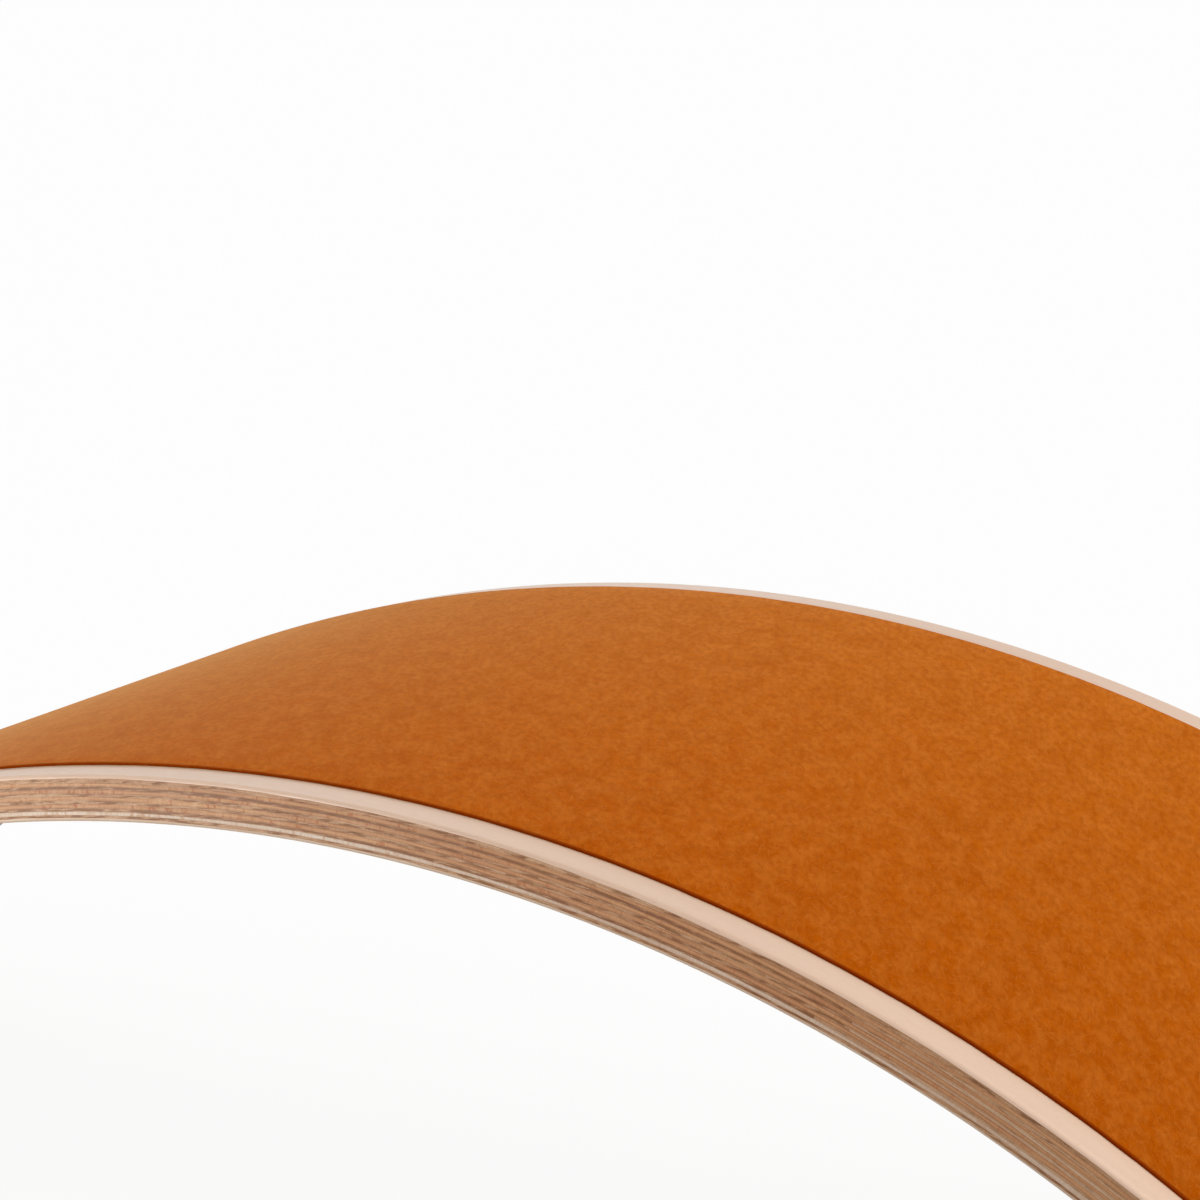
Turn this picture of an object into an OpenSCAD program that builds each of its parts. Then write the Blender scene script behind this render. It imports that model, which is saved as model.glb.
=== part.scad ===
// Curvy balance board: hardwood veneers glued up over a curved mould, grain along and grain
// across by turns, with a felt cover on the rounded side. It stands as an arch on its two ends.
// X runs along the board, Y across it and Z up. The origin is on the floor, under the middle.

/* [Board] */
// Overall length of the board, end to end
board_l = 800; // [600:10:1000]
// Width of the board
board_w = 300; // [200:5:400]
// Angle through which the board bends from one end to the other
bend_angle = 90; // [80:1:100]
// Straight stretch at each end, between the bend and the rounded corners
straight_l = 8; // [2:1:60]
// Radius of the four corners, seen square to the board
corner_r = 25; // [18:1:60]
// Radius of the rounding along every edge
edge_r = 1; // [0.5:0.5:3]

/* [Veneers] */
// Thickness of one pressed veneer
ply_t = 1.075; // [0.8:0.025:1.5]
// Number of veneers whose grain runs across the board
cross_plies = 6; // [5:1:8]

/* [Felt] */
// Thickness of the felt cover
felt_t = 0.8; // [0.5:0.1:4]
// Bare wood left all round the felt
felt_margin = 12.5; // [6:0.5:16]
// Thickness of the adhesive film under the felt
film_t = 0.15; // [0.1:0.05:0.3]

/* [Hidden] */
$fn = 96;

// A grain-along veneer lies on both sides of every cross veneer
ply_count = 2 * cross_plies + 1;
board_t = ply_count * ply_t;
half_bend = bend_angle / 2;
// Angle by which each half of a sheet runs past the crown, where the two halves join
crown_lap = 0.05;
tail_l = straight_l + corner_r;
// What the edge rounding takes off the tip of a square-cut end, along X and along Z
tip_loss = edge_r * (sin(half_bend) + cos(half_bend) - 1);
// Radii of the rounded face and of the hollow face, and height of the floor, from the bend's centre
face_r = (board_l / 2 + tip_loss - tail_l * cos(half_bend)) / sin(half_bend);
mould_r = face_r - board_t;
floor_h = mould_r * cos(half_bend) - tail_l * sin(half_bend) + tip_loss;

// Half of the whole board's section, from a line inside it out to one rounded edge.
// Its first axis runs towards the edge, and its second away from the bend's centre.
module board_half(reach) {
  translate([0, mould_r]) square([reach - edge_r, board_t]);
  translate([0, mould_r + edge_r]) square([reach, board_t - 2 * edge_r]);
  for (r = [mould_r + edge_r, face_r - edge_r])
    translate([reach - edge_r, r]) circle(edge_r);
}

// The same half of one sheet, cut to the board's rounded edge where it is a veneer
module sheet_half(inner_r, sheet_t, reach, rounded) {
  intersection() {
    translate([0, inner_r]) square([reach, sheet_t]);
    if (rounded) board_half(reach);
  }
}

// A sheet's section from one long edge to the other
module sheet_section(inner_r, sheet_t, half_w, rounded) {
  for (side = [0, 1])
    mirror([side, 0]) sheet_half(inner_r, sheet_t, half_w, rounded);
}

// One end of a sheet, laid flat: the straight stretch, the end strip and the two corners
module sheet_end(inner_r, sheet_t, half_w, plan_r, rounded) {
  rotate([90, 0, 90])
    linear_extrude(straight_l) sheet_section(inner_r, sheet_t, half_w, rounded);
  translate([straight_l, half_w - plan_r, 0]) rotate([90, 0, 0])
    linear_extrude(2 * (half_w - plan_r)) sheet_half(inner_r, sheet_t, plan_r, rounded);
  for (side = [0, 1])
    mirror([0, side, 0]) translate([straight_l, half_w - plan_r, 0])
      rotate_extrude(angle = 90) sheet_half(inner_r, sheet_t, plan_r, rounded);
}

// Half of a sheet in its end's own frame: the end, and the bend up to just past the crown
module sheet_side(inner_r, sheet_t, half_w, plan_r, rounded) {
  sheet_end(inner_r, sheet_t, half_w, plan_r, rounded);
  rotate([90, 0, 0]) rotate([0, 0, 90])
    rotate_extrude(angle = half_bend + crown_lap)
      mirror([1, -1]) sheet_section(inner_r, sheet_t, half_w, rounded);
}

// A whole sheet, bent over the mould, with its outline set in from the board's outline
module bent_sheet(inner_r, sheet_t, inset = 0, rounded = false) {
  half_w = board_w / 2 - inset;
  plan_r = corner_r - inset;
  translate([0, 0, -floor_h])
    for (end = [0, 1])
      mirror([end, 0, 0]) rotate([0, half_bend, 0])
        sheet_side(inner_r, sheet_t, half_w, plan_r, rounded);
}

// Veneer number place, counted from 0 at the rounded face
module veneer(place) {
  bent_sheet(face_r - (place + 1) * ply_t, ply_t, rounded = true);
}

module face_veneer_convex() {
  color("Bisque") veneer(0);
}

module cross_ply(i) {
  color("RosyBrown") veneer(2 * i - 1);
}

module long_ply(i) {
  color("BurlyWood") veneer(2 * i);
}

module face_veneer_concave() {
  color("Bisque") veneer(ply_count - 1);
}

module felt_adhesive() {
  color("Wheat") bent_sheet(face_r, film_t, felt_margin);
}

module felt_cover() {
  color("Peru") bent_sheet(face_r + film_t, felt_t, felt_margin);
}

face_veneer_convex();
for (i = [1 : cross_plies])
  cross_ply(i);
for (i = [1 : cross_plies - 1])
  long_ply(i);
face_veneer_concave();
felt_adhesive();
felt_cover();
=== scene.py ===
"""Curvy balance board: the finish of its pressed veneers and felt cover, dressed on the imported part."""
import math

import bpy
import numpy as np
from mathutils import Euler, Matrix, Vector


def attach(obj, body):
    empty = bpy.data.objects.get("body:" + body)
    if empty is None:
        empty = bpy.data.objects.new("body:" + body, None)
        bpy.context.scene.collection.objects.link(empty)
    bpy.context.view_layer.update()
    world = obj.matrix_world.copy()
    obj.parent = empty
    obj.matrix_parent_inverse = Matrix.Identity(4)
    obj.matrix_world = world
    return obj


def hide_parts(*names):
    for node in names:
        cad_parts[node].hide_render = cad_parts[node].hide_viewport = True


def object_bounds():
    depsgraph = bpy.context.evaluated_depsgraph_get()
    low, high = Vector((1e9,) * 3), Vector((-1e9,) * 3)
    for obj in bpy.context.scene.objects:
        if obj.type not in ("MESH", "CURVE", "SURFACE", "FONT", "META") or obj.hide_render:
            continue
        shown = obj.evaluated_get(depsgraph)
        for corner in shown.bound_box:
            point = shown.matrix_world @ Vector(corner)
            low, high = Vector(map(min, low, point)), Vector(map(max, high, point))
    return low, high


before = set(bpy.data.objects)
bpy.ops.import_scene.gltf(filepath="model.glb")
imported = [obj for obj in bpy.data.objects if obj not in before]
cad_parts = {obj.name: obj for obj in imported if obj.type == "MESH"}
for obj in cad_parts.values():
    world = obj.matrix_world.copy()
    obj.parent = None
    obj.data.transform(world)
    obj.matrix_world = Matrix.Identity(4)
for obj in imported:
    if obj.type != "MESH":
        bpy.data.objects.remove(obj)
cad_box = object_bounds()

MM = 0.001

# The board's sizes, as the part has them. Its length, width and number of veneers come from the frame.
HALF_BEND = math.radians(45)
STRAIGHT_L = 8 * MM
CORNER_R = 25 * MM
EDGE_R = 1 * MM
PLY_T = 1.075 * MM
FELT_T = 0.8 * MM
FELT_MARGIN = 12.5 * MM
FILM_T = 0.15 * MM

half_l = cad_box[1][0]
half_w = cad_box[1][1]
cross_plies = sum(name.startswith("cross_ply_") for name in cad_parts)
board_t = (2 * cross_plies + 1) * PLY_T

# The bend: radius of the rounded face, height of the floor from the bend's centre, and half the face's arc
tail_l = STRAIGHT_L + CORNER_R
tip_loss = EDGE_R * (math.sin(HALF_BEND) + math.cos(HALF_BEND) - 1)
face_r = (half_l + tip_loss - tail_l * math.cos(HALF_BEND)) / math.sin(HALF_BEND)
floor_h = (face_r - board_t) * math.cos(HALF_BEND) - tail_l * math.sin(HALF_BEND) + tip_loss
half_arc = face_r * HALF_BEND

# Veneers from the rounded face on: the thickness that pressing left each, and how dark its growth rings are
PLY_T_SHARES = (1.12, 1.4, 1.02, 1.06, 1.08, 1.1, 1.12, 1.08, 1.24, 1.05, 1.05, 1.0, 1.08)
RING_SHARES = (0, 0.3, 0, 0.9, 0, 0.5, 0, 0.5, 0, 0.8, 0, 0.45, 0)

# Where some veneers are joined end to end, in millimetres from the crown, by their number from the rounded
# face. The others are joined far off the board.
SEAM_AT = {3: 189, 4: 190, 5: 193, 6: 193, 7: 193, 9: 182}
SEAM_W = 0.6
NO_SEAM = 9999

# Glue lines and the felt's cut edge wander. Each wave has its length in millimetres, its share of the
# height and its shift. On glue lines the shift grows with the veneer's number, raised to the power that
# comes last.
GLUE_LINE_HEIGHT = 0.07 * MM
GLUE_LINE_WAVES = ((19.7, 1, 2.4, 1), (7.3, 0.7, 1.7, 2), (2.7, 0.4, 4.1, 1))
FELT_EDGE_HEIGHT = 0.06 * MM
FELT_EDGE_WAVES = ((7.9, 1, 0), (3.1, 0.8, 1), (1.7, 0.5, 2))
FELT_EDGE_R = 0.35 * MM
FILM_SETBACK = 0.03 * MM

# Mesh: columns along the bend, a straight stretch and a corner, rows across, levels through a sheet, and
# the angle from which an edge is sharp
BEND_COLUMNS = 420
STRAIGHT_COLUMNS = 3
CORNER_COLUMNS = 14
PLY_ROWS = 8
FELT_ROWS = 24
FACE_LEVELS = 7
PLY_LEVELS = 4
FELT_LEVEL_SHARES = (0, 0.02, 0.08, 0.18, 0.35, 0.7, 1)
FILM_LEVEL_SHARES = (0, 0.5, 1)
SHARP_ANGLE = math.radians(40)

# Just under 1, so that a veneer's lowest points still count as its own
OWN_LAYER_SHARE = 0.999

# Marks on the board's edge, by their length along it in millimetres
LONG_FIBRE_L = 18
RAY_L = 1.5
RAY_ZONE_L = 26
RING_L = 5.5
PALE_RING_L = 15
PORE_L = 0.7
SOAKED_L = 9
DRIFT_L = 50
SANDING_L = 0.5

# Marks on the faces, in millimetres along the board, across it and through the veneer
BAND_SIZE = (260, 9, 9)
FACE_PORE_SIZE = (5, 0.35, 0.35)
FACE_RAY_SIZE = (2.2, 0.4, 0.8)
STAIN_SIZE = (14, 14, 0.5)

# Stretches over which a look changes, in millimetres along the board from the crown
RAYS_FADE = (-60, 160)
# Over this stretch the face veneer's darker edge tone gives way to a painted highlight
EDGE_TONE_HIGHLIGHT_FADE = (60, 230)
# Over this stretch a painted sheen on the board's edge fades out from the left
LEFT_SHEEN_FADE = (-80, 130)
RIGHT_DUST_FADE = (190, 250)
# Over this stretch the felt's dark cut edge and its painted shade go from lighter, as painted light at the
# left, to full
CUT_LEFT_LIGHT_FADE = (-60, 200)

# Marks of the felt and of the film under it, in millimetres. A dot of lint has a radius that is a share of
# the distance between dots. A painted shade darkens the felt over a short way in from its front cut.
PATCH_SIZE = 20
CLOUD_SIZE = 6
MOTTLE_SIZE = 2
SPECK_SIZE = (2.4, 0.8, 1)
LINT_APART = 70
LINT_R_SHARES = (0.003, 0.008)
FRONT_SHADE_FADE = (0.4, 1.6)
FILM_CLOUD_SIZE = 9

# Felt fibres in millimetres, by how many widths they bow, the number of ways that they lie, and by what
# share of the angle between two ways the first is turned
FIBRE_L = 3
FIBRE_W = 0.7
FIBRE_BOW = 4
FIBRE_WAYS = 5
FIRST_WAY_SHARE = 0.4

# The felt was carded at a slant across the board, in degrees, and its pattern is drawn out that way
CARDED_AT = 27
CARDED_STRETCH = 2.2

# Steps in the noise from one veneer, or one way of the fibres, to the next, so that each has its own
PLY_NOISE_STEP = 7.3
FIBRE_NOISE_STEP = 5

# Height of each finish's relief
PLY_RELIEF = 0.03 * MM
FACE_RELIEF = 0.02 * MM
FELT_RELIEF = 0.05 * MM
FILM_RELIEF = 0.01 * MM

# Camera: place in metres, angles in degrees, lens and sensor in millimetres
CAMERA_AT = (0.77207, -1.30563, 0.55377)
CAMERA_YAW = 29.8512
CAMERA_PITCH = -12.5889
CAMERA_ROLL = -0.0751
CAMERA_LENS = 151.25
CAMERA_SENSOR_W = 36
CAMERA_REACH = 50

# Lights and floor: places and sizes in metres, spreads in degrees
SURROUND_LEVEL = 0.27
KEY_TOWARDS = (0.86, -0.14, 0.49)
KEY_SPREAD = 60
KEY_STRENGTH = 2.86
FILL_TOWARDS = (-0.93, 0.3, 0.2)
FILL_SPREAD = 90
FILL_STRENGTH = 0.76
LAMP_AT = (-0.35, -0.58, 0.07)
LAMP_AIM = (-0.05, -0.15, 0.17)
LAMP_SIZE = 0.25
LAMP_POWER = 2.5
FLOOR_HALF = 8
FLOOR_SHADOW_SHARE = 0.07


# Shape


def bent(along, across, depth):
    """Points of the flat layout, bent into the arch. Depth is measured from the rounded face."""
    turn = np.clip(along, -half_arc, half_arc) / face_r
    tail = np.sign(along) * np.maximum(np.abs(along) - half_arc, 0)
    radius = face_r - depth
    x = radius * np.sin(turn) + tail * math.cos(HALF_BEND)
    z = radius * np.cos(turn) - np.abs(tail) * math.sin(HALF_BEND) - floor_h
    return np.stack([x, across, z], axis=-1)


def layout(rows):
    """The board laid flat, as a grid: place along and across, and the way out to the nearest edge."""
    bend = np.linspace(-half_arc, half_arc, BEND_COLUMNS + 1)
    straight = np.linspace(0, STRAIGHT_L, STRAIGHT_COLUMNS + 1)[1:]
    corner = np.linspace(0, math.pi / 2, CORNER_COLUMNS + 1)[1:]
    tail = np.concatenate([straight, STRAIGHT_L + CORNER_R * np.sin(corner)]) + half_arc
    slant = np.concatenate([np.zeros_like(straight), corner])
    along = np.concatenate([-tail[::-1], bend, tail])[:, None]
    slant = np.concatenate([-slant[::-1], np.zeros_like(bend), slant])[:, None]
    share = np.linspace(-1, 1, rows + 1)[None, :]
    across = share * (half_w - CORNER_R * (1 - np.cos(slant)))
    out_along = np.sin(slant) * np.ones_like(share)
    out_across = share * np.cos(slant)
    return along + 0 * share, across, out_along, out_across


def rounding(depth, radius):
    """How far an edge rounded by radius lies inside the outline, at a depth under its face."""
    short = np.clip(radius - depth, 0, radius)
    return radius - np.sqrt(radius**2 - short**2)


def ripple(run, waves):
    """Waves added up along a run in millimetres, each with its length, share and shift."""
    return sum(share * np.sin(run / length + shift) for length, share, shift in waves)


def rim(columns, rows):
    """The grid's outer points in order, seen from the rounded side, anticlockwise."""
    index = np.arange(columns * rows).reshape(columns, rows)
    return np.concatenate([index[:, 0], index[-1, 1:], index[-2::-1, -1], index[0, -2:0:-1]])


def quads(columns, rows):
    """The grid's faces, facing the rounded side."""
    index = np.arange(columns * rows).reshape(columns, rows)
    corners = [index[:-1, :-1], index[1:, :-1], index[1:, 1:], index[:-1, 1:]]
    return np.stack(corners, axis=-1).reshape(-1, 4)


def sheet(name, rows, top, bottom, inset, steps):
    """A closed mesh between two depths over the layout. inset gives how far each level is drawn in, and
    steps are the levels from top to bottom, from 0 to 1. Returns the object, its points laid flat and
    their levels."""
    along, across, out_along, out_across = layout(rows)
    grid = along.shape
    edge = rim(*grid)
    points, flat, levels = [], [], []
    for step in steps:
        depth = (1 - step) * top(along, across) + step * bottom(along, across)
        drawn_in = inset(along, across, depth)
        level = np.stack([along - drawn_in * out_along, across - drawn_in * out_across, depth], axis=-1)
        bend = bent(level[..., 0], level[..., 1], depth)
        kept = slice(None) if step in (0, 1) else edge
        points.append(bend.reshape(-1, 3)[kept])
        flat.append(level.reshape(-1, 3)[kept])
        levels.append(np.full(len(flat[-1]), step))
    starts = np.cumsum([0] + [len(level) for level in flat])
    loops = []
    for start, step in zip(starts, steps):
        loops.append(start + (edge if step in (0, 1) else np.arange(len(edge))))
    faces = [quads(*grid), quads(*grid)[:, ::-1] + starts[-2]]
    for upper, lower in zip(loops, loops[1:]):
        faces.append(np.stack([upper, lower, np.roll(lower, -1), np.roll(upper, -1)], axis=-1))
    mesh = bpy.data.meshes.new(name)
    mesh.from_pydata(np.concatenate(points).tolist(), [], np.concatenate(faces).tolist())
    mesh.shade_smooth()
    mesh.set_sharp_from_angle(angle=SHARP_ANGLE)
    piece = bpy.data.objects.new(name, mesh)
    bpy.context.scene.collection.objects.link(piece)
    return piece, np.concatenate(flat), np.concatenate(levels)


def note(piece, name, values):
    """Stores values at the points of a piece, for its material to read."""
    kind, field = ("FLOAT_VECTOR", "vector") if values.ndim == 2 else ("FLOAT", "value")
    made = piece.data.attributes.new(name, kind, "POINT")
    made.data.foreach_set(field, values.astype(np.float32).ravel())


def glue_line(place):
    """Depth of the joint above veneer number place. The outer faces are even, and the joints wander."""
    depth = sum(PLY_T_SHARES[:place]) / sum(PLY_T_SHARES) * board_t
    inside = 0 < place < len(PLY_T_SHARES)
    waves = [(length, share, shift * place**power) for length, share, shift, power in GLUE_LINE_WAVES]

    def at(along, across):
        return depth + GLUE_LINE_HEIGHT * inside * ripple((along + across) / MM, waves)

    return at


def board_edge(along, across, depth):
    """How far the board's rounded edge is drawn in at a depth."""
    return rounding(np.minimum(depth, board_t - depth), EDGE_R)


def steepness(depth):
    """How nearly the board's edge stands upright at a depth, from 0 on the faces to 1."""
    short = np.clip(EDGE_R - np.minimum(depth, board_t - depth), 0, EDGE_R)
    return np.sqrt(1 - (short / EDGE_R) ** 2)


def dress(piece, node, material):
    """Puts a piece in the place of its node, with its finish."""
    piece.data.materials.append(material)
    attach(piece, "root")
    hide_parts(node)


def veneer(node, place, material, crosswise):
    """Veneer number place, rounded where it meets the board's edge. Its grain runs along or crosswise."""
    last = len(PLY_T_SHARES) - 1
    steps = np.linspace(0, 1, FACE_LEVELS if place in (0, last) else PLY_LEVELS)
    if place == 0:
        steps = steps**2
    if place == last:
        steps = 1 - (1 - steps) ** 2
    top, bottom = glue_line(place), glue_line(place + 1)
    piece, flat, level = sheet(f"{node}_skin", PLY_ROWS, top, bottom, board_edge, steps)
    past_straight = np.abs(flat[:, 0]) - half_arc - STRAIGHT_L
    lean = np.clip(past_straight / CORNER_R, 0, 1)
    facing = np.sqrt(1 - lean**2) if crosswise else lean
    note(piece, "unrolled", flat)
    note(piece, "layer", place + OWN_LAYER_SHARE * level)
    note(piece, "end_grain", facing * steepness(flat[:, 2]))
    note(piece, "upright", steepness(flat[:, 2]))
    note(piece, "shade", np.full(len(flat), RING_SHARES[place]))
    note(piece, "seam", np.full(len(flat), SEAM_AT.get(place, NO_SEAM)))
    dress(piece, node, material)


def felt_sheet(node, material, top_depth, bottom_depth, edge_r, setback, steps):
    """A sheet that lies on the rounded face, cut a margin inside the board's edge."""

    def cut(along, across, depth):
        wave = ripple((along - across) / MM, FELT_EDGE_WAVES)
        return FELT_MARGIN + setback + FELT_EDGE_HEIGHT * wave + rounding(depth - top_depth, edge_r)

    def even(depth):
        return lambda along, across: np.full_like(along, depth)

    top, bottom = even(top_depth), even(bottom_depth)
    piece, flat, level = sheet(f"{node}_skin", FELT_ROWS, top, bottom, cut, steps)
    note(piece, "unrolled", flat)
    note(piece, "layer", level)
    dress(piece, node, material)
    return piece


# Finishes


def tint(red, green, blue):
    """A colour as a screen shows it, from 0 to 255, for a socket."""
    shares = [value / 255 for value in (red, green, blue)]
    linear = [v / 12.92 if v <= 0.04045 else ((v + 0.055) / 1.055) ** 2.4 for v in shares]
    return (*linear, 1)


# Tones that all the veneers share, among them one for dust and painted sheen, those of the felt's painted
# front shade, lint and fuzz, and the floor's as it lights
GLUE_TONE = tint(203, 180, 156)
DRIFT_TONE = tint(214, 178, 146)
SANDING_TONE = tint(214, 190, 160)
DUST_AND_SHEEN_TONE = tint(206, 196, 170)
PAINTED_FRONT_SHADE_TONE = tint(240, 238, 222)
LINT_TONE = tint(226, 190, 160)
FUZZ_TONE = tint(252, 236, 178)
FLOOR_TONE = tint(180, 180, 180)
WHITE = (1, 1, 1, 1)


class Nodes:
    """The nodes of one material or world. Most calls add a node and return its output. A value may be a
    number, a colour or another node's output."""

    def __init__(self, owner):
        owner.use_nodes = True
        self.owner = owner
        self.tree = owner.node_tree

    def put(self, socket, value):
        """Links an output to a socket, or sets the socket."""
        if isinstance(value, bpy.types.NodeSocket):
            self.tree.links.new(value, socket)
        else:
            socket.default_value = value

    def add(self, kind, inputs, output=0, **settings):
        node = self.tree.nodes.new("ShaderNode" + kind)
        for key, value in settings.items():
            setattr(node, key, value)
        for key, value in inputs.items():
            self.put(node.inputs[key], value)
        return node.outputs[output]

    def note(self, name, output="Fac"):
        """What a piece has noted at its points."""
        return self.add("Attribute", {}, output, attribute_name=name)

    def unrolled(self):
        """The place on the board laid flat, in millimetres."""
        return self.over(self.note("unrolled", "Vector"), (MM, MM, MM))

    def math(self, operation, *values):
        return self.add("Math", dict(enumerate(values)), operation=operation)

    def parts(self, vector):
        return [self.add("SeparateXYZ", {0: vector}, axis) for axis in "XYZ"]

    def vector(self, x, y, z):
        return self.add("CombineXYZ", {0: x, 1: y, 2: z})

    def over(self, vector, sizes):
        """The vector measured in these sizes along its three axes."""
        return self.add("VectorMath", {0: vector, 1: [1 / size for size in sizes]}, operation="MULTIPLY")

    def turned(self, x, y, angle):
        """Two coordinates as they read on axes turned by an angle."""
        ahead = self.math("MULTIPLY_ADD", x, math.cos(angle), self.math("MULTIPLY", y, math.sin(angle)))
        aside = self.math("MULTIPLY_ADD", y, math.cos(angle), self.math("MULTIPLY", x, -math.sin(angle)))
        return ahead, aside

    def noise(self, vector, detail=2.0, rough=0.5, distortion=0.0):
        inputs = {
            "Vector": vector,
            "Scale": 1,
            "Detail": detail,
            "Roughness": rough,
            "Distortion": distortion,
        }
        return self.add("TexNoise", inputs)

    def spread(self, value, low, high, to_low=0.0, to_high=1.0):
        """A value from low to high, eased and spread over another range."""
        inputs = {"Value": value, "From Min": low, "From Max": high, "To Min": to_low, "To Max": to_high}
        return self.add("MapRange", inputs, interpolation_type="SMOOTHSTEP")

    def mix(self, share, first, second, blend="MIX"):
        inputs = {0: share, 6: first, 7: second}
        return self.add("Mix", inputs, 2, data_type="RGBA", blend_type=blend)

    def seen_directly(self):
        """1 on rays from the camera, and on those that a glossy or clear surface sends on."""
        seen = self.add("LightPath", {}, "Is Camera Ray")
        for other in ("Is Glossy Ray", "Is Transmission Ray"):
            seen = self.math("MAXIMUM", seen, self.add("LightPath", {}, other))
        return seen

    def finish(self, colour, height, relief, roughness, constants):
        """Links the colour, a relief so many metres high and the roughness, and sets the constants."""
        shader = self.tree.nodes["Principled BSDF"]
        bump = {"Strength": 1, "Distance": relief, "Height": height}
        self.put(shader.inputs["Base Color"], colour)
        self.put(shader.inputs["Roughness"], roughness)
        self.put(shader.inputs["Normal"], self.add("Bump", bump, "Normal"))
        for socket, value in constants.items():
            shader.inputs[socket].default_value = value
        return self.owner


def ply_edge(name, long_tone, long_dark, end_tone, streak_tone, tick_tone, pale_tone):
    """The finish of an inner veneer, which shows only along the board's edge: long grain where it runs
    along that edge, and end grain where it is cut across."""
    nodes = Nodes(bpy.data.materials.new(name))
    along, across = nodes.parts(nodes.unrolled())[:2]
    run = nodes.math("ADD", along, across)
    layer = nodes.note("layer")
    ply = nodes.math("FLOOR", layer)
    in_ply = nodes.math("FRACT", layer)
    from_joint = nodes.math("PINGPONG", in_ply, 0.5)
    end_grain = nodes.note("end_grain")

    def grain(length, turns, seed, slant=0.0, detail=2.0, rough=0.55):
        """Noise that is length millimetres long, with turns to a ply, and its own in each ply."""
        level = nodes.math("MULTIPLY", in_ply, turns)
        level = nodes.math("ADD", level, nodes.math("MULTIPLY", run, slant))
        own = nodes.math("MULTIPLY_ADD", ply, PLY_NOISE_STEP, seed)
        return nodes.noise(nodes.vector(nodes.math("DIVIDE", run, length), level, own), detail, rough)

    # The seam, where some veneers are joined end to end: past it they are lighter
    past_seam = nodes.math("SUBTRACT", along, nodes.note("seam"))
    joined = nodes.spread(past_seam, -SEAM_W / 2, SEAM_W / 2)
    shade = nodes.math("MULTIPLY", nodes.note("shade"), nodes.math("MULTIPLY_ADD", joined, -0.75, 1))

    # Long grain: fibres along the edge, and ray flecks that stand across the ply, with pale wood between
    fibres = grain(LONG_FIBRE_L, 3.6, seed=0.4, detail=3)
    rays = grain(RAY_L, 0.35, seed=3.1, slant=0.05, detail=1.5)
    ray_zone = nodes.spread(grain(RAY_ZONE_L, 0.1, seed=9.7), 0.38, 0.56)
    ray_zone = nodes.math("MULTIPLY", ray_zone, nodes.spread(along, *RAYS_FADE, 1, 0.35))
    ticks = nodes.math("MULTIPLY", nodes.spread(rays, 0.55, 0.64), ray_zone)
    windows = nodes.math("MULTIPLY", nodes.spread(rays, 0.36, 0.5, 0.5, 0), ray_zone)
    core = nodes.spread(from_joint, 0.1, 0.4, 0, 0.3)
    long_grain = nodes.mix(nodes.spread(fibres, 0.34, 0.66), long_tone, long_dark)
    long_grain = nodes.mix(nodes.math("MAXIMUM", windows, core), long_grain, pale_tone)
    long_grain = nodes.mix(nodes.math("MULTIPLY", ticks, 0.85), long_grain, tick_tone)

    # End grain: dark growth rings that slant through the ply, pale ones between them, and fine pores
    rings = grain(RING_L, 1.6, seed=5.2, slant=0.08, detail=3)
    pale_rings = grain(PALE_RING_L, 2.0, seed=11.9, slant=0.04)
    pores = grain(PORE_L, 3.0, seed=2.6)
    dark = nodes.spread(nodes.math("MULTIPLY_ADD", shade, 0.3, rings), 0.56, 0.76)
    dark = nodes.math("MULTIPLY", dark, nodes.spread(from_joint, 0.02, 0.22, 0.45, 0.95))
    cut_grain = nodes.mix(nodes.spread(pale_rings, 0.46, 0.68, 0, 0.7), end_tone, pale_tone)
    cut_grain = nodes.mix(nodes.spread(pores, 0.42, 0.68, 0, 0.35), cut_grain, long_dark)
    cut_grain = nodes.mix(dark, cut_grain, streak_tone)

    # Past the seam a pale glue line shows in the lower part of a veneer, most where its rings are pale
    glue = nodes.math("MULTIPLY", joined, nodes.spread(in_ply, 0.35, 0.7))
    glue = nodes.math("MULTIPLY", glue, nodes.math("SUBTRACT", 1, nodes.note("shade")))
    cut_grain = nodes.mix(glue, cut_grain, GLUE_TONE)

    # Joints, dark where the glue soaked in, a slow change of tone along each veneer, sanding marks, dust
    # towards the right, and a painted sheen towards the left
    soaked = nodes.spread(grain(SOAKED_L, 0.2, seed=7.7), 0.4, 0.66, 0, 0.45)
    joint = nodes.spread(from_joint, 0.0, 0.28, 1, 0)
    drift = nodes.spread(grain(DRIFT_L, 0.3, seed=1.3), 0.35, 0.65, 0, 0.4)
    sanding = nodes.spread(grain(SANDING_L, 0.1, seed=4.4, detail=1), 0.3, 0.7, 0, 0.3)
    # Painted sheen: a pale haze on the edge towards the left, where light is reflected
    left_painted_sheen = nodes.spread(along, *LEFT_SHEEN_FADE, 0.09, 0)
    right_dust = nodes.spread(along, *RIGHT_DUST_FADE, 0, 0.04)
    colour = nodes.mix(end_grain, long_grain, cut_grain)
    colour = nodes.mix(nodes.math("MULTIPLY", joint, soaked), colour, streak_tone)
    colour = nodes.mix(drift, colour, DRIFT_TONE, "MULTIPLY")
    colour = nodes.mix(sanding, colour, SANDING_TONE, "MULTIPLY")
    # The pale tone is laid on as painted sheen at the left and as dust at the right
    colour = nodes.mix(nodes.math("ADD", left_painted_sheen, right_dust), colour, DUST_AND_SHEEN_TONE)

    height = nodes.math("ADD", nodes.math("MULTIPLY", rings, 0.6), pores)
    roughness = nodes.spread(rings, 0.3, 0.7, 0.48, 0.6)
    return nodes.finish(colour, height, PLY_RELIEF, roughness, {"Specular IOR Level": 0.36})


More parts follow.
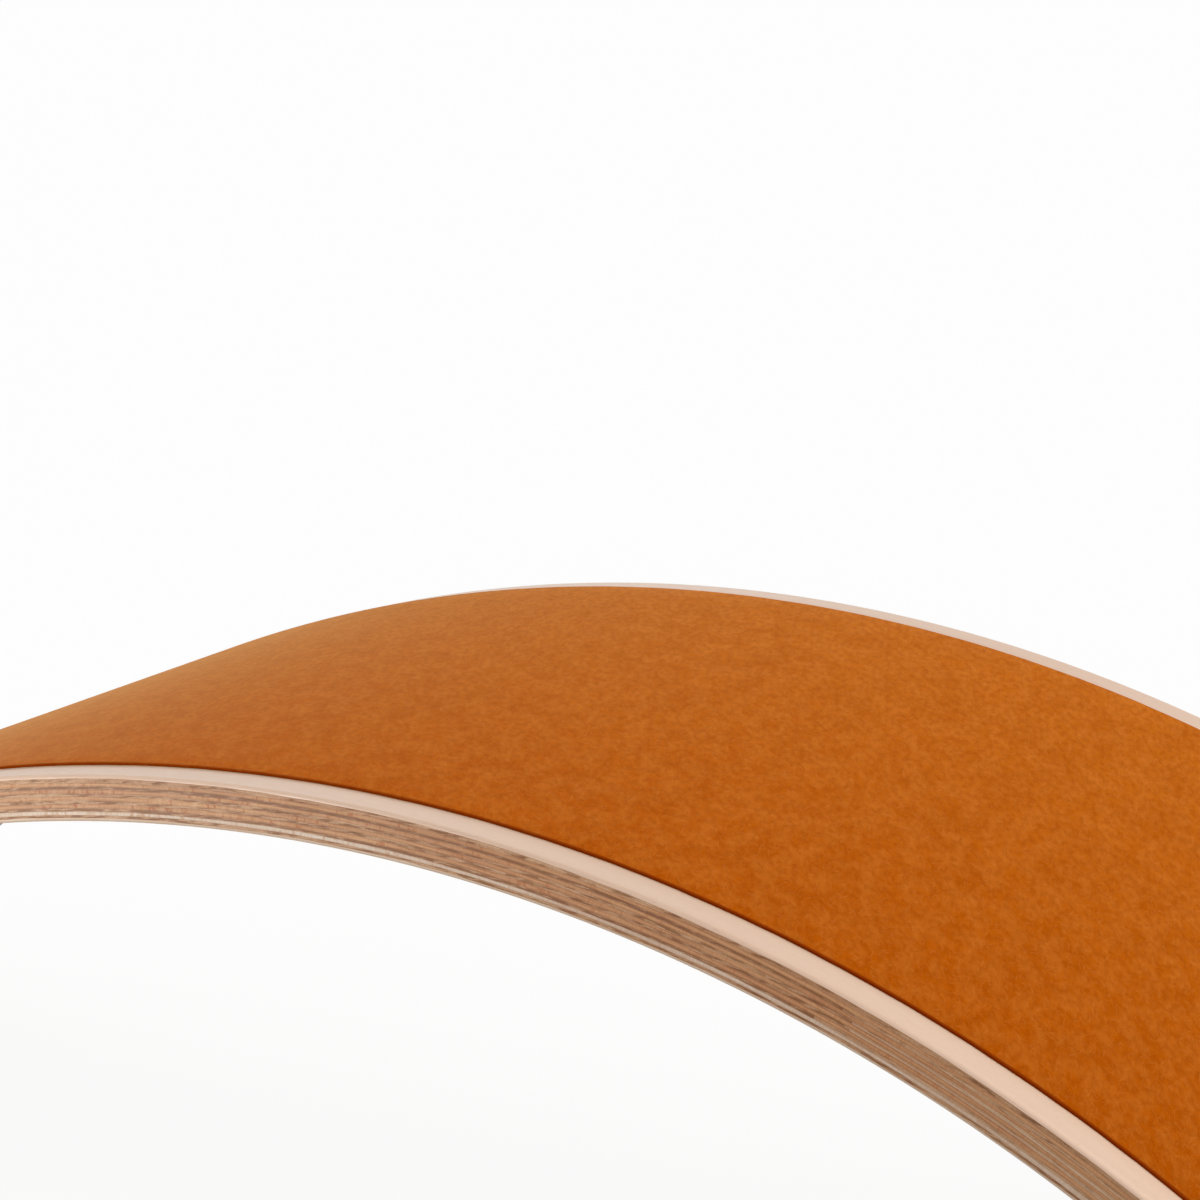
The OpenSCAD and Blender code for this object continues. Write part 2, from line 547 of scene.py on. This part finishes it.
def veneer_face(name, tone, dark_tone, fleck_tone, edge_tone, edge_kept):
    """The finish of a face veneer: growth bands, fine pores and ray flecks along the board. Its edge has a
    tone of its own, of which only a share is kept at the right, so the edge is lighter there as a painted
    highlight."""
    nodes = Nodes(bpy.data.materials.new(name))
    place = nodes.unrolled()
    bands = nodes.noise(nodes.over(place, BAND_SIZE), 3, 0.55, 0.4)
    pores = nodes.noise(nodes.over(place, FACE_PORE_SIZE), 2, 0.6)
    rays = nodes.spread(nodes.noise(nodes.over(place, FACE_RAY_SIZE), 1), 0.66, 0.76)
    stain = nodes.noise(nodes.over(place, STAIN_SIZE))
    along = nodes.parts(place)[0]
    upright = nodes.math("MULTIPLY", nodes.note("upright"), nodes.spread(stain, 0.3, 0.7, 0.6, 1))
    # Painted highlight: less of the darker edge tone towards the right, where more light falls
    upright = nodes.math("MULTIPLY", upright, nodes.spread(along, *EDGE_TONE_HIGHLIGHT_FADE, 1, edge_kept))
    colour = nodes.mix(nodes.spread(bands, 0.3, 0.75, 0, 0.55), tone, dark_tone)
    colour = nodes.mix(nodes.spread(pores, 0.45, 0.75, 0, 0.3), colour, dark_tone)
    colour = nodes.mix(nodes.math("MULTIPLY", rays, 0.4), colour, fleck_tone)
    colour = nodes.mix(upright, colour, edge_tone)
    colour = nodes.mix(nodes.math("MULTIPLY", nodes.note("end_grain"), 0.45), colour, fleck_tone)
    height = nodes.math("SUBTRACT", pores, nodes.math("MULTIPLY", rays, 0.5))
    roughness = nodes.spread(pores, 0.3, 0.7, 0.36, 0.48)
    return nodes.finish(colour, height, FACE_RELIEF, roughness, {"Specular IOR Level": 0.58})


def felt_finish(name, tone, painted_back_light_tone, light_tone, dark_tone, fibre_tone, cut_and_shade_tone):
    """Pressed felt: soft patches, a fine mottle, dark specks, short fibres that lie every way and a few
    dots of lint. Painted light makes it lighter and hazier towards the back and darker towards the front.
    Its cut edge is dark, partly in its own tone and partly as a painted shade along the front."""
    nodes = Nodes(bpy.data.materials.new(name))
    along, across = nodes.parts(nodes.unrolled())[:2]
    place = nodes.vector(along, across, 0)
    side, lay = nodes.turned(along, across, math.radians(CARDED_AT))
    lay = nodes.math("DIVIDE", lay, CARDED_STRETCH)
    carded = nodes.vector(side, lay, 0)
    patches = nodes.noise(nodes.over(place, (PATCH_SIZE, PATCH_SIZE, 1)))
    clouds = nodes.noise(nodes.over(carded, (CLOUD_SIZE, CLOUD_SIZE, 1)))
    mottle = nodes.noise(nodes.over(carded, (MOTTLE_SIZE, MOTTLE_SIZE, 1)))
    specks = nodes.noise(nodes.over(carded, SPECK_SIZE), 1)
    lint_place = nodes.over(place, (LINT_APART, LINT_APART, 1))
    lint = nodes.add("TexVoronoi", {"Vector": lint_place, "Scale": 1}, "Distance")

    # Fibres: strokes in each of several directions, bowed by the clouds
    bow = nodes.math("MULTIPLY", clouds, FIBRE_BOW)
    fibres = 0
    for number in range(FIBRE_WAYS):
        ahead, aside = nodes.turned(side, lay, math.pi * (number + FIRST_WAY_SHARE) / FIBRE_WAYS)
        ahead = nodes.math("DIVIDE", ahead, FIBRE_L)
        aside = nodes.math("MULTIPLY_ADD", aside, 1 / FIBRE_W, bow)
        strokes = nodes.noise(nodes.vector(ahead, aside, FIBRE_NOISE_STEP * number), 1)
        fibres = nodes.math("MAXIMUM", fibres, nodes.spread(strokes, 0.58, 0.78))

    # Colour, from the broad tones to the fine marks
    # Painted light: the felt is lighter and hazier towards the back, and darker towards the front
    back = half_w / MM
    painted_back_light = nodes.add("MapRange", {"Value": across, "From Min": -back, "From Max": back})
    colour = nodes.mix(painted_back_light, tone, painted_back_light_tone)
    colour = nodes.mix(nodes.spread(patches, 0.35, 0.65, 0.24, 0), colour, dark_tone)
    colour = nodes.mix(nodes.spread(clouds, 0.35, 0.65, 0, 0.36), colour, light_tone)
    colour = nodes.mix(nodes.spread(mottle, 0.3, 0.65, 0.46, 0), colour, dark_tone)
    colour = nodes.mix(nodes.spread(specks, 0.68, 0.76, 0, 0.5), colour, dark_tone)
    colour = nodes.mix(nodes.math("MULTIPLY", fibres, 0.3), colour, fibre_tone)
    # Painted shade towards the front
    colour = nodes.mix(nodes.math("SUBTRACT", 1, painted_back_light), colour, PAINTED_FRONT_SHADE_TONE, "MULTIPLY")
    colour = nodes.mix(nodes.spread(lint, *LINT_R_SHARES, 0.6, 0), colour, LINT_TONE)

    # The darker cut edge and a painted shade along the front edge, lightened towards the left as painted
    # light
    from_front = nodes.math("SUBTRACT", across, (FELT_MARGIN - half_w) / MM)
    # Painted shade: a dark line just inside the front cut
    painted_front_shade = nodes.spread(from_front, *FRONT_SHADE_FADE, 0.85, 0)
    cut = nodes.math("MAXIMUM", painted_front_shade, nodes.spread(nodes.note("layer"), 0.03, 0.3))
    # Painted light from the left: the cut edge and its painted shade are paler there
    cut = nodes.math("MULTIPLY", cut, nodes.spread(along, *CUT_LEFT_LIGHT_FADE, 0.7, 1))
    colour = nodes.mix(cut, colour, cut_and_shade_tone)

    height = nodes.math("MULTIPLY_ADD", fibres, 0.7, mottle)
    roughness = nodes.spread(mottle, 0.3, 0.7, 0.88, 0.98)
    fuzz = {
        "Diffuse Roughness": 1,
        "Specular IOR Level": 0,
        "Sheen Weight": 0.23,
        "Sheen Roughness": 0.28,
        "Sheen Tint": FUZZ_TONE,
    }
    return nodes.finish(colour, height, FELT_RELIEF, roughness, fuzz)


def film_finish(name, tone, dark_tone):
    """The adhesive film under the felt: thin, dull and slightly clouded."""
    nodes = Nodes(bpy.data.materials.new(name))
    cloud = nodes.noise(nodes.over(nodes.unrolled(), (FILM_CLOUD_SIZE, FILM_CLOUD_SIZE, 1)), 3, 0.6)
    colour = nodes.mix(nodes.spread(cloud, 0.3, 0.7), tone, dark_tone)
    roughness = nodes.spread(cloud, 0.3, 0.7, 0.5, 0.7)
    return nodes.finish(colour, cloud, FILM_RELIEF, roughness, {"Specular IOR Level": 0.3})


# Stage


def camera():
    """The camera at the photograph's viewing angle."""
    data = bpy.data.cameras.new("camera")
    data.lens = CAMERA_LENS
    data.sensor_width = CAMERA_SENSOR_W
    data.clip_end = CAMERA_REACH
    eye = bpy.data.objects.new("camera", data)
    look = Euler((math.radians(90 + CAMERA_PITCH), 0, math.radians(CAMERA_YAW))).to_matrix()
    look = look @ Matrix.Rotation(math.radians(CAMERA_ROLL), 3, "Z")
    eye.matrix_world = Matrix.LocRotScale(Vector(CAMERA_AT), look, None)
    bpy.context.scene.collection.objects.link(eye)
    bpy.context.scene.camera = eye


def lamp(name, at, aim, size, power):
    """A soft square lamp that points from one place to another."""
    data = bpy.data.lights.new(name, "AREA")
    data.shape = "SQUARE"
    data.size = size
    data.energy = power
    made = bpy.data.objects.new(name, data)
    made.location = at
    made.rotation_euler = (Vector(aim) - Vector(at)).to_track_quat("-Z", "Y").to_euler()
    made.visible_camera = False
    bpy.context.scene.collection.objects.link(made)


def sun(name, towards, spread, strength):
    """A broad, even light from one direction. Spread is the angle in degrees over which it comes."""
    data = bpy.data.lights.new(name, "SUN")
    data.angle = math.radians(spread)
    data.energy = strength
    made = bpy.data.objects.new(name, data)
    made.rotation_euler = Vector(towards).to_track_quat("Z", "Y").to_euler()
    bpy.context.scene.collection.objects.link(made)


def surroundings():
    """A surround that shows plain white, and is dimmer as light on the object."""
    world = bpy.data.worlds.new("surroundings")
    bpy.context.scene.world = world
    nodes = Nodes(world)
    background = nodes.tree.nodes["Background"]
    level = nodes.add("MapRange", {"Value": nodes.seen_directly(), "To Min": SURROUND_LEVEL, "To Max": 1})
    nodes.put(background.inputs["Color"], WHITE)
    nodes.put(background.inputs["Strength"], level)


def floor():
    """A white floor, which shows only a share of the shadow that falls on it."""
    mesh = bpy.data.meshes.new("floor")
    corners = [(x * FLOOR_HALF, y * FLOOR_HALF, 0) for x, y in ((-1, -1), (1, -1), (1, 1), (-1, 1))]
    mesh.from_pydata(corners, [], [(0, 1, 2, 3)])
    made = bpy.data.objects.new("floor", mesh)
    bpy.context.scene.collection.objects.link(made)
    nodes = Nodes(bpy.data.materials.new("floor"))
    nodes.tree.nodes.remove(nodes.tree.nodes["Principled BSDF"])
    white = nodes.add("Emission", {"Color": WHITE, "Strength": 1})
    paper = nodes.add("BsdfDiffuse", {"Color": WHITE})
    shaded = nodes.add("MixShader", {0: FLOOR_SHADOW_SHARE, 1: white, 2: paper})
    dull = nodes.add("BsdfDiffuse", {"Color": FLOOR_TONE})
    either = nodes.add("MixShader", {0: nodes.seen_directly(), 1: dull, 2: shaded})
    nodes.put(nodes.tree.nodes["Material Output"].inputs["Surface"], either)
    mesh.materials.append(nodes.owner)


# The object


def build_board():
    """All the veneers, from the rounded face to the hollow one."""
    face = veneer_face(
        "pale_face",
        tone=tint(225, 192, 167),
        dark_tone=tint(212, 175, 146),
        fleck_tone=tint(186, 142, 108),
        edge_tone=tint(201, 169, 145),
        edge_kept=0.3,
    )
    # The hollow face is a darker wood than the rounded face, and its tone is also darkened as painted shade
    # on the underside
    hollow = veneer_face(
        "hollow_face",
        tone=tint(196, 158, 124),
        dark_tone=tint(180, 139, 104),
        fleck_tone=tint(146, 102, 70),
        edge_tone=tint(204, 180, 157),
        edge_kept=1,
    )
    long_ply = ply_edge(
        "long_ply",
        long_tone=tint(194, 137, 86),
        long_dark=tint(169, 112, 63),
        end_tone=tint(178, 132, 91),
        streak_tone=tint(126, 74, 29),
        tick_tone=tint(166, 86, 30),
        pale_tone=tint(216, 175, 134),
    )
    cross_ply = ply_edge(
        "cross_ply",
        long_tone=tint(197, 139, 87),
        long_dark=tint(166, 112, 64),
        end_tone=tint(181, 137, 97),
        streak_tone=tint(126, 75, 29),
        tick_tone=tint(150, 82, 36),
        pale_tone=tint(208, 172, 137),
    )
    pale_ply = ply_edge(
        "pale_long_ply",
        long_tone=tint(213, 192, 173),
        long_dark=tint(199, 172, 148),
        end_tone=tint(190, 150, 114),
        streak_tone=tint(156, 116, 82),
        tick_tone=tint(188, 142, 106),
        pale_tone=tint(221, 206, 193),
    )
    last = len(PLY_T_SHARES) - 1
    veneer("face_veneer_convex", 0, face, crosswise=False)
    for number in range(1, cross_plies + 1):
        veneer(f"cross_ply_{number}", 2 * number - 1, cross_ply, crosswise=True)
    for number in range(1, cross_plies):
        finish = pale_ply if number == cross_plies - 1 else long_ply
        veneer(f"long_ply_{number}", 2 * number, finish, crosswise=False)
    veneer("face_veneer_concave", last, hollow, crosswise=False)


def build_felt():
    """The felt cover and the adhesive film under it."""
    film = film_finish("adhesive_film", tone=tint(214, 196, 160), dark_tone=tint(196, 176, 138))
    felt = felt_finish(
        "felt",
        tone=tint(191, 90, 0),
        painted_back_light_tone=tint(196, 105, 18),
        light_tone=tint(208, 121, 44),
        dark_tone=tint(166, 74, 0),
        fibre_tone=tint(211, 127, 56),
        cut_and_shade_tone=tint(132, 45, 2),
    )
    top = -FILM_T - FELT_T
    felt_sheet("felt_adhesive", film, -FILM_T, 0, FILM_T / 2, FILM_SETBACK, FILM_LEVEL_SHARES)
    cover = felt_sheet("felt_cover", felt, top, -FILM_T, FELT_EDGE_R, 0, FELT_LEVEL_SHARES)


camera()
surroundings()
floor()
sun("overhead_right", KEY_TOWARDS, KEY_SPREAD, KEY_STRENGTH)
sun("left_fill", FILL_TOWARDS, FILL_SPREAD, FILL_STRENGTH)
lamp("front_left", LAMP_AT, LAMP_AIM, LAMP_SIZE, LAMP_POWER)
build_board()
build_felt()

bpy.context.scene.view_settings.view_transform = "Standard"
